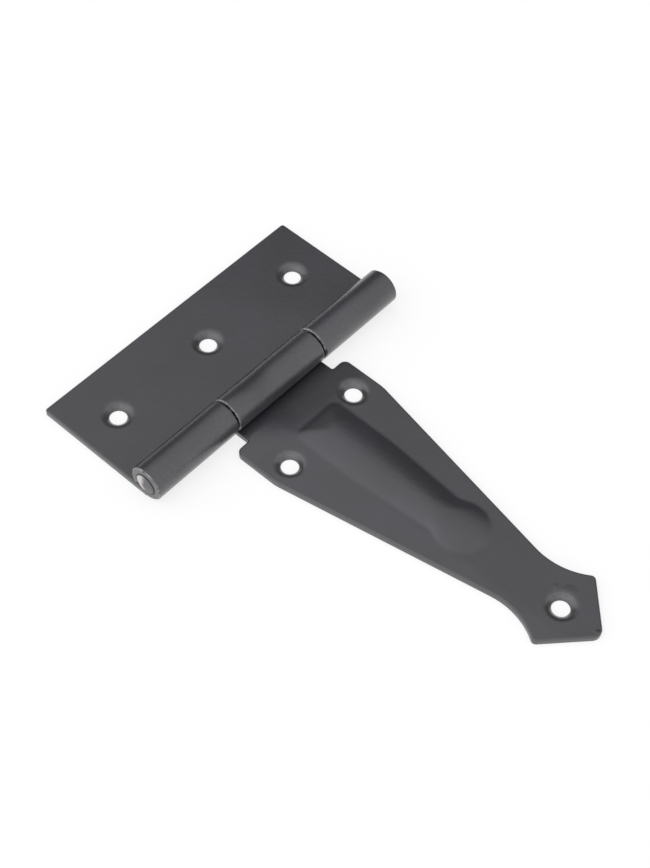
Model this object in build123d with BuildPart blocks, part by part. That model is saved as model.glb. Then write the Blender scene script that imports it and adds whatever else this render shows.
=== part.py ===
"""T hinge: a cross leaf, a spear-ended strap leaf with a pressed rib, and the pin that joins them.

Millimetres. The origin lies under the middle of the pin, on the plane of the leaves' back faces.
+X runs along the strap to its tip, +Y along the pin, and +Z away from the surface it is screwed to.
"""

import os
from math import acos, asin, atan2, degrees, hypot, radians, sin, tan

from build123d import *

# Sheet, pin and barrel
sheet = 1.8
pin_diameter = 6.7
pin_play = 0.05
pin_dome = 0.8
barrel_length = 93.0
strap_knuckle = 33.1
knuckle_gap = 0.4
seam_gap = 0.5
rim_break = 0.4
edge_break = 0.3
inner_round = 0.6

# Cross leaf
leaf_reach = 38.6
leaf_corner = 0.8
notch_clearance = 0.4
leaf_hole_reach = 23.3
leaf_hole_pitch = 34.2

# Strap outline
strap_length = 111.4
strap_width = 43.0
shoulder_reach = 8.0
shoulder_round = 2.0
parallel_end = 22.0
parallel_blend = 14.0
waist_width = 17.5
waist_radius = 20.0
spear_width = 25.8
spear_angle = 94.0
barb_round = 1.3
tip_round = 2.7

# Strap screw holes, the two near the pin staggered
near_hole_reach = 17.4
far_hole_reach = 21.0
strap_hole_inset = 6.9
tip_hole_setback = 12.0

# Screw holes, all alike
hole_diameter = 4.9
sink_angle = 90.0
sink_land = 0.4
sink_lip = 2.4

# Pressed rib on the strap, a little off its middle line
rib_height = 1.4
rib_offset = 0.85
rib_inset = 13.45
rib_back = 15.5
rib_end_run = 7.0
rib_corner = 2.2
rib_parallel_end = 36.0
rib_waist_draw = 1.8
rib_waist_run = 6.2
rib_bulb_flare = 1.65
rib_bulb_reach = 66.4

# Barrel
bore_radius = pin_diameter / 2 + pin_play
barrel_radius = bore_radius + sheet
roll_sweep = 270 + degrees(asin((bore_radius - seam_gap) / barrel_radius))
notch_width = strap_knuckle + 2 * knuckle_gap
notch_edge = barrel_radius + notch_clearance
end_knuckle = (barrel_length - notch_width) / 2

# Spear and waist of the strap, on its +Y side
half_spear = radians(spear_angle / 2)
apex_reach = strap_length + tip_round * (1 / sin(half_spear) - 1)
barb_reach = apex_reach - spear_width / 2 / tan(half_spear)
barb_turn = degrees(acos(1 - (spear_width - waist_width) / 2 / waist_radius))
waist_reach = barb_reach - waist_radius * sin(radians(barb_turn))
waist_centre = (waist_reach, waist_width / 2 + waist_radius)
taper_run = waist_reach - parallel_end
taper_rise = waist_centre[1] - strap_width / 2
taper_turn = degrees(asin(waist_radius / hypot(taper_run, taper_rise)) - atan2(taper_rise, taper_run))

# Breadths of the rib, whose outline lies an inset within the strap's sides
rib_width = strap_width - 2 * rib_inset
rib_waist_width = rib_width - 2 * rib_waist_draw
rib_bulb_radius = rib_waist_width / 2 + rib_bulb_flare

# Screw holes
strap_hole_offset = strap_width / 2 - strap_hole_inset
sink_radius = hole_diameter / 2 + (sheet - sink_land) * tan(radians(sink_angle / 2))


def rolled_knuckle(side, start, length):
    """A knuckle: the sheet passes under the pin and rolls round it to an open seam above its own leaf.

    Its leaf lies on the +X side where side is 1 and on the -X side where it is -1.
    It runs along -Y from start, and its outer rims are broken.
    """
    with BuildPart() as knuckle:
        with BuildSketch(Plane.XZ.offset(-start)):
            with BuildLine():
                outer = CenterArc((0, barrel_radius), barrel_radius, -90, -side * roll_sweep)
                inner = CenterArc((0, barrel_radius), bore_radius, -90, -side * roll_sweep)
                Line(outer @ 0, inner @ 0)
                Line(outer @ 1, inner @ 1)
            make_face()
        extrude(amount=length)
        rims = knuckle.edges().filter_by(GeomType.CIRCLE).group_by(SortBy.RADIUS)[-1]
        chamfer(rims, length=rim_break)
    return knuckle.part


def corners(sketch, x, y):
    """The corner of a sketch at a place and its mirror image."""
    return [sketch.vertices().sort_by_distance((x, side * y))[0] for side in (-1, 1)]


def rib_section(share):
    """Outline of the pressed rib, a share of the way from its foot to its ridge.

    The outlines draw in toward the rib's middle line and rise as a parabola, so the wall leaves the
    strap's front at a crease and runs level into the ridge. Each tapers to a waist and ends in a bulb.
    """
    left = 1 - share
    back = rib_back + share * rib_end_run
    bulb_x = rib_bulb_reach - share * rib_end_run
    waist_x = bulb_x - rib_waist_run
    side = left * rib_width / 2
    waist = left * rib_waist_width / 2
    bulb = left * rib_bulb_radius
    hollow = (rib_waist_run**2 - bulb**2 + waist**2) / (2 * (bulb - waist))
    run = waist_x - rib_parallel_end
    rise = waist + hollow - side
    turn = degrees(asin(hollow / hypot(run, rise)) - atan2(rise, run))
    lean = degrees(atan2(rib_waist_run, waist + hollow))
    with BuildSketch(Plane((0, rib_offset, sheet + rib_height * (1 - left**2)))) as section:
        with BuildLine():
            flare = CenterArc((waist_x, waist + hollow), hollow, -90 - turn, turn + lean)
            CenterArc((bulb_x, 0), bulb, 90 + lean, -90 - lean)
            Polyline((back, 0), (back, side), (rib_parallel_end, side), flare @ 0)
            mirror(about=Plane.XZ)
        make_face()
        fillet(corners(section, back, side), radius=left * rib_corner)
    return section.sketch


def break_front_edges(blank):
    """Break the front edges of a leaf's blank, all but those that run on into its knuckles."""
    outline = blank.faces().sort_by(Axis.Z)[-1].outer_wire().edges()
    chamfer(outline.filter_by(lambda edge: abs((edge @ 0.5).X) > edge_break), length=edge_break)


def sink_screw_holes(leaf, places):
    """Countersunk screw holes, with lips that are drawn softly into the front face."""
    with Locations(*[(x, y, sheet) for x, y in places]):
        CounterSinkHole(hole_diameter / 2, sink_radius, counter_sink_angle=sink_angle)
    lips = leaf.edges(Select.LAST).filter_by(GeomType.CIRCLE).group_by(SortBy.RADIUS)[-1]
    fillet(lips, radius=sink_lip)


# Pieces that are formed before they join their leaf
end_roll = rolled_knuckle(-1, -notch_width / 2, end_knuckle)
strap_roll = rolled_knuckle(1, strap_knuckle / 2, strap_knuckle)

with BuildPart() as rib:
    loft([rib_section(share) for share in (0, 0.25, 0.5, 0.75, 0.9)])

# Cross leaf: a plain blank, notched for the strap's knuckle, with a knuckle rolled at each end
with BuildPart() as cross_leaf:
    with BuildSketch(Plane.XY) as leaf_blank:
        with Locations((-leaf_reach / 2, 0)):
            Rectangle(leaf_reach, barrel_length)
        with Locations((-notch_edge / 2, 0)):
            Rectangle(notch_edge, notch_width, mode=Mode.SUBTRACT)
        fillet(corners(leaf_blank, -leaf_reach, barrel_length / 2), radius=leaf_corner)
        fillet(corners(leaf_blank, -notch_edge, notch_width / 2), radius=inner_round)
    extrude(amount=sheet)
    break_front_edges(cross_leaf)
    add(end_roll)
    add(end_roll.mirror(Plane.XZ))
    sink_screw_holes(cross_leaf, [(-leaf_hole_reach, row * leaf_hole_pitch) for row in (-1, 0, 1)])

# Strap leaf: a shouldered blank that tapers to a waist and flares to a spear, with the rib pressed up
with BuildPart() as strap_leaf:
    with BuildSketch(Plane.XY) as strap_blank:
        with BuildLine():
            waist = CenterArc(waist_centre, waist_radius, -90 - taper_turn, taper_turn + barb_turn)
            Polyline(
                (0, 0),
                (0, strap_knuckle / 2),
                (shoulder_reach, strap_knuckle / 2),
                (shoulder_reach, strap_width / 2),
                (parallel_end, strap_width / 2),
                waist @ 0,
            )
            Line(waist @ 1, (apex_reach, 0))
            mirror(about=Plane.XZ)
        make_face()
        fillet(corners(strap_blank, shoulder_reach, strap_knuckle / 2), radius=inner_round)
        fillet(corners(strap_blank, shoulder_reach, strap_width / 2), radius=shoulder_round)
        fillet(corners(strap_blank, parallel_end, strap_width / 2), radius=parallel_blend)
        fillet(corners(strap_blank, barb_reach, spear_width / 2), radius=barb_round)
        fillet(strap_blank.vertices().sort_by(Axis.X)[-1], radius=tip_round)
    extrude(amount=sheet)
    break_front_edges(strap_leaf)
    add(strap_roll)
    add(rib)
    add(rib.part.moved(Location((0, 0, -sheet))), mode=Mode.SUBTRACT)
    sink_screw_holes(
        strap_leaf,
        [
            (near_hole_reach, strap_hole_offset),
            (far_hole_reach, -strap_hole_offset),
            (strap_length - tip_hole_setback, 0),
        ],
    )

# Pin: a plain rod through all the knuckles, its ends headed to low domes
dome_radius = ((pin_diameter / 2) ** 2 + pin_dome**2) / (2 * pin_dome)
dome_angle = degrees(asin(pin_diameter / 2 / dome_radius))
pin_tip = barrel_length / 2 + pin_dome
with BuildPart() as hinge_pin:
    with BuildSketch(Plane.YZ):
        with BuildLine():
            dome = CenterArc((pin_tip - dome_radius, barrel_radius), dome_radius, 0, dome_angle)
            Line(dome @ 1, (0, barrel_radius + pin_diameter / 2))
            Line(dome @ 0, (0, barrel_radius))
            mirror(about=Plane.YZ)
        make_face()
    revolve(axis=Axis((0, 0, barrel_radius), (0, 1, 0)))

os.makedirs("parts", exist_ok=True)
for name, piece in (("cross_leaf", cross_leaf), ("strap_leaf", strap_leaf), ("hinge_pin", hinge_pin)):
    piece.part.label = name
    export_step(piece.part, f"parts/{name}.step")
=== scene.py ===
"""A black T hinge, lying open on its back on a white floor, in metres and in the frame of its solids."""

from functools import partial, reduce
from math import cos, pi, radians, sin

import bpy
from mathutils import Matrix, Vector

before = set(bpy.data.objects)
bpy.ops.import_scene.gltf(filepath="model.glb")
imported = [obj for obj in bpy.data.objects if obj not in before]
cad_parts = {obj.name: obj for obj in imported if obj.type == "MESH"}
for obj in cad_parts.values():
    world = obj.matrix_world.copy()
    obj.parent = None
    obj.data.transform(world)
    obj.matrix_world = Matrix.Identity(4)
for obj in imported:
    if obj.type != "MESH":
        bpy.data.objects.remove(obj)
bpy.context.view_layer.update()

MILLI = 0.001

# Camera, as the photograph was taken
camera_azimuth = 40.0
camera_elevation = 53.89
camera_roll = 2.63
camera_target = Vector((0.02042, -0.0002, 0.0))
camera_distance = 0.4548
camera_lens_mm = 70.75
camera_clip = 10 * MILLI

# Floor, a hair under the hinge, and the share of it that is plain white to the eye
floor_size = 300.0
floor_drop = 0.00005
floor_colour = (0.97, 0.97, 0.97, 1)
floor_glow = 0.72

# Light from all round: a bright side that fades to a dark one along an axis, with a window toward -Y
light_axis = Vector((0.6, -1.2, 0.69))
light_tint = (0.97, 0.96, 1.0, 1)
light_fade = (-0.58, -0.14)
light_levels = (0.19, 1.05)
window_fade = (0.1, -1)
window_gain = (1, 1.7)

# Barrel, pin and screw holes, as the solids have them
axis_height = 5.2 * MILLI
barrel_radius = 5.2 * MILLI
rim_break = 0.4 * MILLI
pin_radius = 3.35 * MILLI
leaf_holes = ((-0.0233, -0.0342, 0), (-0.0233, 0, 0), (-0.0233, 0.0342, 0))
strap_holes = ((0.0174, 0.0146, 0), (0.0210, -0.0146, 0), (0.0994, 0, 0))

# Colours of the coat, and of the steel where it is bare
coat_dark = (0.006, 0.006, 0.008, 1)
coat_light = (0.012, 0.011, 0.016, 1)
# On the barrel's +X side this lighter coat is partly a painted highlight.
rubbed_coat_and_highlight = (0.062, 0.058, 0.055, 1)
steel_dark = (0.10, 0.097, 0.093, 1)
steel_light = (0.46, 0.44, 0.42, 1)

# Gloss of the coat
coat_roughness = (0.29, 0.36)
coat_specular = 1.0
coat_ior = 1.48
gloss_weight = 0.6
gloss_roughness = 0.33
gloss_ior = 1.45

# Unevenness of the coat: its patches, its scuffs, and its relief with the depth and strength of each kind
noise_roughness = 0.55
noise_detail = 4.0
patch_size = 18 * MILLI
patch_range = (0.35, 0.65)
scuff_size = 1.1 * MILLI
grain_size = 0.35 * MILLI
grain_detail = 3.0
grain_range = (0.3, 0.7)
grain_depth = 0.03 * MILLI
grain_strength = 0.7
smooth_detail = 2.0
peel_size = 1.2 * MILLI
peel_depth = 0.05 * MILLI
peel_strength = 0.6
wave_size = 9 * MILLI
wave_depth = 0.1 * MILLI
wave_strength = 0.25

# Wear to the steel on the barrel's rims
rim_inner = barrel_radius - rim_break
rim_fade = 0.1 * MILLI
rim_outer = (barrel_radius - 0.03 * MILLI, barrel_radius - 0.1 * MILLI)
worn_range = (0.4, 0.7)
worn_share = (0, 0.6)

# Coat rubbed thin: the cutter's rings in the screw holes' dishes, and specks on the barrel, which crowd
# toward its +X side as a painted highlight where the floor's reflection falls
dish_edge = (4.0 * MILLI, 4.4 * MILLI)
ring_pitch = 0.6 * MILLI
ring_share = (0.3, 1)
uneven_range = (0.35, 0.65)
uneven_share = (0.3, 1)
barrel_skin = (0.02 * MILLI, 0.05 * MILLI)
highlight_side_range = (-1 * MILLI, 4.5 * MILLI)
# The barrel's specks crowd toward its +X side as a painted highlight.
highlight_side_share = (0.1, 1)
handled_range = (0.4, 0.6)
handled_share = (0.4, 1)
speck_size = 0.7 * MILLI
speck_range = (0.4, 0.7)
speck_share = (0.1, 0.55)

# How far the coat rounds the sheet's edges, and the foot of the rib within its reach
edge_round = 0.5 * MILLI
rib_round = 1.6 * MILLI
rib_start = 13 * MILLI
rib_end = 75 * MILLI
rib_breadth = 9.2 * MILLI
rib_fade = 1 * MILLI
round_samples = 8

# Cross leaf's far outer corner, which falls away a little
end_start = 22 * MILLI
end_blend = 10 * MILLI
end_slope = 0.02
end_skew = -0.5
end_middle = 20 * MILLI

# Strap's root, which dips to the barrel
root_start = 7.5 * MILLI
root_start_blend = 4 * MILLI
root_end = 15.5 * MILLI
root_end_blend = 3 * MILLI
root_slope = 0.15
root_side = -15 * MILLI

# Strap's -Y side, which falls away from the end of its root
side_start = 7 * MILLI
side_blend = 2 * MILLI
side_slope = 0.07
side_clear = 14 * MILLI

# Back wall of the strap's rib, which is a little hollow
back_foot = 15.5 * MILLI
back_ridge = 22.5 * MILLI
back_middle = 0.85 * MILLI
back_breadth = 5 * MILLI
back_fade = 3 * MILLI
back_hollow = 0.1 * MILLI

# Drops and burrs of the coat on the strap: place, radius and height
drops = (
    ((0.0984, 0.0045, 0.0018), 2.2 * MILLI, 0.16 * MILLI),
    ((0.0949, 0.0034, 0.0018), 0.9 * MILLI, 0.10 * MILLI),
    ((0.1106, 0.0001, 0.0018), 0.8 * MILLI, 0.20 * MILLI),
)
drop_top = 0.6
drop_blend = 0.8

# Pin: blotches, the edge past which its steel turns darker toward its +X side, and a line of painted shade
# round its ends for the gap to the barrel
blotch_size = 1.5 * MILLI
blotch_range = (0.3, 0.7)
blotch_shift = 3 * MILLI
darker_side_edge = (0.6 * MILLI, 1.9 * MILLI)
gap_shade_edge = (pin_radius - 0.45 * MILLI, pin_radius - 0.25 * MILLI)
pin_roughness = (0.35, 0.5)
dent_depth = 0.3 * MILLI
dent_strength = 0.4


class Graph:
    """The nodes of a material or a world. A value is a plain one, or the output of another node."""

    def __init__(self, owner):
        owner.use_nodes = True
        self.nodes = owner.node_tree.nodes
        self.links = owner.node_tree.links

    def feed(self, socket, value):
        """Give a value to an input."""
        if isinstance(value, bpy.types.NodeSocket):
            self.links.new(value, socket)
        else:
            socket.default_value = value

    def node(self, kind, inputs=(), **settings):
        """A node with its settings, and with values for its inputs by name or number."""
        node = self.nodes.new("ShaderNode" + kind)
        for name, value in settings.items():
            setattr(node, name, value)
        for key, value in dict(inputs).items():
            self.feed(node.inputs[key], value)
        return node

    def maths(self, operation, *values):
        """A sum on numbers."""
        return self.node("Math", enumerate(values), operation=operation).outputs["Value"]

    def product(self, *values):
        """Numbers multiplied together."""
        return reduce(partial(self.maths, "MULTIPLY"), values)

    def vectors(self, operation, *values):
        """A sum on vectors, as the node's outputs."""
        return self.node("VectorMath", enumerate(values), operation=operation).outputs

    def split(self, vector):
        """A vector's X, Y and Z."""
        return self.node("SeparateXYZ", {"Vector": vector}).outputs

    def noise(self, place, size, detail=noise_detail):
        """A noise with features of a given size."""
        inputs = {"Vector": place, "Scale": 1 / size, "Detail": detail, "Roughness": noise_roughness}
        return self.node("TexNoise", inputs).outputs["Fac"]

    def remap(self, value, old, new, kind="LINEAR"):
        """A value spread from an old range to a new one, and held at its ends."""
        inputs = {"Value": value, "From Min": old[0], "From Max": old[1], "To Min": new[0], "To Max": new[1]}
        return self.node("MapRange", inputs, interpolation_type=kind).outputs["Result"]

    def mix(self, factor, first, second):
        """Two colours mixed by a factor."""
        return self.node("Mix", {0: factor, 6: first, 7: second}, data_type="RGBA").outputs[2]

    def bump(self, height, distance, normal, strength=1.0):
        """A normal that follows a height, on top of another normal."""
        inputs = {"Strength": strength, "Distance": distance, "Height": height, "Normal": normal}
        return self.node("Bump", inputs).outputs["Normal"]


def new_material(name):
    """A material, its graph and its shader's inputs."""
    material = bpy.data.materials.new(name)
    graph = Graph(material)
    return material, graph, graph.nodes["Principled BSDF"].inputs


def from_pin(graph, place):
    """Distance from the pin's axis."""
    across = graph.vectors("MULTIPLY_ADD", place, (1, 0, 1), (0, 0, -axis_height))["Vector"]
    return graph.vectors("LENGTH", across)["Value"]


def from_holes(graph, place, holes):
    """Distance from the axis of the nearest screw hole."""
    level = graph.vectors("MULTIPLY", place, (1, 1, 0))["Vector"]
    spreads = [graph.vectors("DISTANCE", level, hole)["Value"] for hole in holes]
    return reduce(partial(graph.maths, "MINIMUM"), spreads)


def leaf_bends(graph, place, normal):
    """The cross leaf's normal, with its far outer corner falling away."""
    x, y, _ = graph.split(place)
    outward = graph.maths("ADD", x, end_middle)
    along = graph.maths("MULTIPLY_ADD", outward, end_skew, y)
    fall = graph.maths("SMOOTH_MAX", along, end_start, end_blend)
    return graph.bump(graph.maths("MULTIPLY", fall, -1), end_slope, normal)


def strap_bends(graph, place, normal):
    """The strap's normal, with its root's dip, its side's fall, its rib's hollow back and its drops."""
    x, y, _ = graph.split(place)

    rise = graph.maths("SMOOTH_MAX", x, root_start, root_start_blend)
    rise = graph.maths("SMOOTH_MIN", rise, root_end, root_end_blend)
    depth = graph.maths("SUBTRACT", rise, root_end)
    share = graph.remap(y, (root_side, 0), (0, 1), "SMOOTHSTEP")
    normal = graph.bump(graph.product(depth, share), root_slope, normal)

    aside = graph.maths("SUBTRACT", graph.maths("MULTIPLY", y, -1), side_start)
    outward = graph.maths("SMOOTH_MAX", aside, 0, side_blend)
    downward = graph.remap(x, (root_start, side_clear), (0, -1))
    normal = graph.bump(graph.product(outward, downward), side_slope, normal)

    climb = graph.remap(x, (back_foot, back_ridge), (0, 2 * pi))
    hollow = graph.maths("SUBTRACT", graph.maths("COSINE", climb), 1)
    across = graph.maths("ABSOLUTE", graph.maths("SUBTRACT", y, back_middle))
    within = graph.remap(across, (back_breadth, back_breadth + back_fade), (0.5, 0), "SMOOTHSTEP")
    normal = graph.bump(graph.product(hollow, within), back_hollow, normal)

    for centre, radius, height in drops:
        away = graph.vectors("DISTANCE", place, centre)["Value"]
        drop = graph.remap(away, (radius, 0), (0, 1))
        normal = graph.bump(graph.maths("SMOOTH_MIN", drop, drop_top, drop_blend), height, normal)
    return normal


def rounding(graph, place):
    """How far edges are rounded: a little at the sheet's edges, and more at the foot of the strap's rib."""
    x, y, _ = graph.split(place)
    within = graph.remap(graph.maths("ABSOLUTE", y), (rib_breadth, rib_breadth + rib_fade), (1, 0))
    after = graph.remap(x, (rib_start - rib_fade, rib_start), (0, 1))
    before = graph.remap(x, (rib_end, rib_end + rib_fade), (1, 0))
    return graph.remap(graph.product(within, after, before), (0, 1), (edge_round, rib_round))


def rubbing_and_highlight(graph, place, holes, reach, patches, scuffs):
    """How far the coat is rubbed thin, in rings in the screw holes' dishes and in specks on the barrel,
    which crowd toward its +X side as a painted highlight.
    """
    spread = from_holes(graph, place, holes)
    dish = graph.remap(spread, dish_edge, (1, 0))
    wave = graph.maths("SINE", graph.maths("MULTIPLY", spread, 2 * pi / ring_pitch))
    rings = graph.remap(wave, (-1, 1), ring_share)
    uneven = graph.remap(scuffs, uneven_range, uneven_share)

    x, _, _ = graph.split(place)
    off_round = graph.maths("ABSOLUTE", graph.maths("SUBTRACT", reach, barrel_radius))
    barrel = graph.remap(off_round, barrel_skin, (1, 0))
    # Painted highlight: more specks toward the barrel's +X side, where the floor's reflection falls.
    highlight_side = graph.remap(x, highlight_side_range, highlight_side_share)
    handled = graph.remap(patches, handled_range, handled_share)
    specks = graph.remap(graph.noise(place, speck_size, smooth_detail), speck_range, speck_share)

    in_dishes = graph.product(dish, rings, uneven)
    on_barrel = graph.product(barrel, specks, highlight_side, handled)
    return graph.maths("MAXIMUM", in_dishes, on_barrel)


def wearing(graph, reach, scuffs):
    """How far the barrel's rims are worn to the steel."""
    inside = graph.remap(reach, rim_outer, (0, 1))
    outside = graph.remap(reach, (rim_inner - rim_fade, rim_inner), (0, 1))
    return graph.product(inside, outside, graph.remap(scuffs, worn_range, worn_share))


def coat_material(name, bends, holes):
    """Satin black coat on sheet steel, rubbed thin in places, lighter on the barrel's +X side as a painted
    highlight, and worn to the steel at the barrel's rims.
    """
    material, graph, shader = new_material(name)
    place = graph.node("TexCoord").outputs["Object"]
    reach = from_pin(graph, place)
    patches = graph.noise(place, patch_size)
    scuffs = graph.noise(place, scuff_size)
    grain = graph.noise(place, grain_size, grain_detail)
    peel = graph.noise(place, peel_size, smooth_detail)
    waves = graph.noise(place, wave_size, smooth_detail)

    colour = graph.mix(graph.remap(patches, patch_range, (0, 1)), coat_dark, coat_light)
    # Rubbed coat in the dishes and on the barrel; on the barrel's +X side it is partly a painted highlight.
    colour = graph.mix(rubbing_and_highlight(graph, place, holes, reach, patches, scuffs), colour, rubbed_coat_and_highlight)
    colour = graph.mix(wearing(graph, reach, scuffs), colour, steel_light)
    graph.feed(shader["Base Color"], colour)
    graph.feed(shader["Roughness"], graph.remap(grain, grain_range, coat_roughness))
    shader["Specular IOR Level"].default_value = coat_specular
    shader["IOR"].default_value = coat_ior
    shader["Coat Weight"].default_value = gloss_weight
    shader["Coat Roughness"].default_value = gloss_roughness
    shader["Coat IOR"].default_value = gloss_ior

    rounded = graph.node("Bevel", {"Radius": rounding(graph, place)}, samples=round_samples)
    normal = bends(graph, place, rounded.outputs["Normal"])
    normal = graph.bump(grain, grain_depth, normal, grain_strength)
    normal = graph.bump(peel, peel_depth, normal, peel_strength)
    normal = graph.bump(waves, wave_depth, normal, wave_strength)
    graph.feed(shader["Normal"], normal)
    graph.feed(shader["Coat Normal"], normal)
    return material


def pin_material():
    """Dull steel pin, darker toward its +X side, with a line of painted shade round its ends where it meets
    the barrel.
    """
    material, graph, shader = new_material("dull_pin_steel")
    place = graph.node("TexCoord").outputs["Object"]
    x, _, _ = graph.split(place)
    blotches = graph.noise(place, blotch_size)
    across = graph.maths("MULTIPLY_ADD", blotches, blotch_shift, x)
    # The pin's steel turns darker toward its +X side.
    steel = graph.mix(graph.remap(across, darker_side_edge, (1, 0)), steel_dark, steel_light)
    # Painted shade: a dark line round the pin's ends, for the gap between the pin and the barrel.
    line = graph.remap(from_pin(graph, place), gap_shade_edge, (0, 1))
    graph.feed(shader["Base Color"], graph.mix(line, steel, coat_dark))
    graph.feed(shader["Roughness"], graph.remap(blotches, blotch_range, pin_roughness))
    normal = graph.node("NewGeometry").outputs["Normal"]
    graph.feed(shader["Normal"], graph.bump(blotches, dent_depth, normal, dent_strength))
    return material


def floor_material():
    """White ground that keeps a soft shadow, in part plain white to camera, glossy and transmission rays."""
    material = bpy.data.materials.new("white_ground")
    graph = Graph(material)
    graph.nodes.clear()
    rays = graph.node("LightPath").outputs
    seen = graph.maths("MAXIMUM", rays["Is Camera Ray"], rays["Is Glossy Ray"])
    seen = graph.maths("MAXIMUM", seen, rays["Is Transmission Ray"])
    share = graph.maths("MULTIPLY", seen, floor_glow)
    lit = graph.node("BsdfDiffuse", {"Color": floor_colour}).outputs["BSDF"]
    glow = graph.node("Emission").outputs["Emission"]
    mixed = graph.node("MixShader", {"Fac": share, 1: lit, 2: glow}).outputs["Shader"]
    graph.node("OutputMaterial", {"Surface": mixed})
    return material


def make_floor():
    """The floor that the hinge lies on."""
    bpy.ops.mesh.primitive_plane_add(size=floor_size, location=(0, 0, -floor_drop))
    floor = bpy.context.object
    floor.name = "floor"
    floor.data.materials.append(floor_material())


def make_light():
    """Soft light from all round."""
    world = bpy.data.worlds.new("white_surround")
    bpy.context.scene.world = world
    graph = Graph(world)
    graph.nodes.clear()
    direction = graph.node("TexCoord").outputs["Generated"]
    facing = graph.vectors("DOT_PRODUCT", direction, light_axis)["Value"]
    level = graph.remap(facing, light_fade, light_levels, "SMOOTHSTEP")
    _, y, _ = graph.split(direction)
    strength = graph.product(level, graph.remap(y, window_fade, window_gain))
    light = graph.node("Background", {"Color": light_tint, "Strength": strength}).outputs["Background"]
    graph.node("OutputWorld", {"Surface": light})


def make_camera():
    """The camera where the photograph was taken from."""
    around, above, roll = (radians(turn) for turn in (camera_azimuth, camera_elevation, camera_roll))
    back = Vector((sin(around) * cos(above), -cos(around) * cos(above), sin(above)))
    level = Vector((cos(around), sin(around), 0))
    upright = back.cross(level)
    right = level * cos(roll) + upright * sin(roll)
    up = upright * cos(roll) - level * sin(roll)
    lens = bpy.data.cameras.new("camera")
    lens.lens = camera_lens_mm
    lens.clip_start = camera_clip
    camera = bpy.data.objects.new("camera", lens)
    turn = Matrix((right, up, back)).transposed()
    camera.matrix_world = Matrix.Translation(camera_target + back * camera_distance) @ turn.to_4x4()
    bpy.context.scene.collection.objects.link(camera)
    bpy.context.scene.camera = camera


def dress(name, material):
    """Give a node its finish."""
    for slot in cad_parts[name].material_slots:
        slot.material = material


dress("cross_leaf", coat_material("leaf_coat", leaf_bends, leaf_holes))
dress("strap_leaf", coat_material("strap_coat", strap_bends, strap_holes))
dress("hinge_pin", pin_material())
make_floor()
make_light()
make_camera()
bpy.context.scene.view_settings.view_transform = "Standard"
